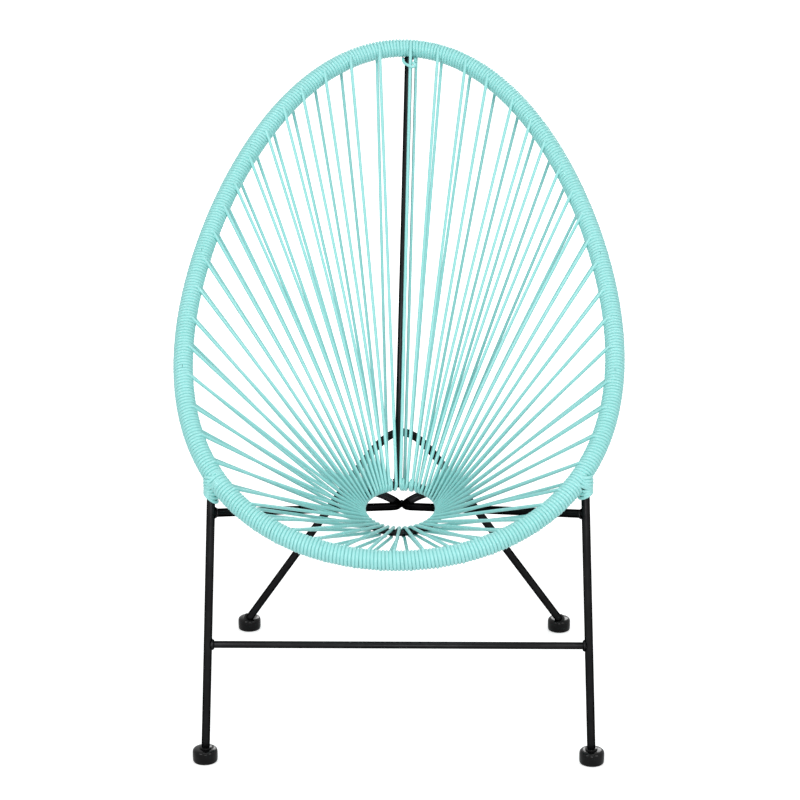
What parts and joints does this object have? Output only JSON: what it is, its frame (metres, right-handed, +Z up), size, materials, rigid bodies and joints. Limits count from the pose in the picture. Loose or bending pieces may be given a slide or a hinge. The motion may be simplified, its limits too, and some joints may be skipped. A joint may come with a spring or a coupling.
{
  "type": "acapulco chair",
  "caption": "Lounge chair with an egg-shaped leaning rim, wound and strung with aqua vinyl cord down to a small hub ring, on black steel rod legs with round foot caps",
  "frame": {"origin": "on the floor, under the middle of the chair's box", "axes": "+Z up, -Y the way the sitter faces, +X to the sitter's left"},
  "size_m": [0.6658, 0.7832, 0.9578],
  "materials": {
    "black_steel": "satin black powder coat",
    "foot_plastic": "satin black moulded plastic",
    "aqua_cord": "glossy aqua vinyl"
  },
  "bodies": {
    "root": {"rim_tube": "black_steel", "hub_ring": "black_steel", "back_spine": "black_steel", "rear_leg_arch": "black_steel", "front_leg_left": "black_steel", "front_leg_right": "black_steel", "brace_left": "black_steel", "brace_right": "black_steel", "front_stretcher": "black_steel", "front_foot_cap_left": "foot_plastic", "front_foot_cap_right": "foot_plastic", "rear_foot_cap_left": "foot_plastic", "rear_foot_cap_right": "foot_plastic", "seat_cord_section_01": "aqua_cord", "seat_cord_section_02": "aqua_cord", "seat_cord_section_03": "aqua_cord", "seat_cord_section_04": "aqua_cord", "seat_cord_section_05": "aqua_cord", "seat_cord_section_06": "aqua_cord", "seat_cord_section_07": "aqua_cord", "seat_cord_section_08": "aqua_cord", "seat_cord_section_09": "aqua_cord", "seat_cord_section_10": "aqua_cord", "seat_cord_section_11": "aqua_cord", "seat_cord_section_12": "aqua_cord", "leg_lashing_left": "aqua_cord", "leg_lashing_right": "aqua_cord", "top_knot": "aqua_cord"}
  },
  "joints": []
}
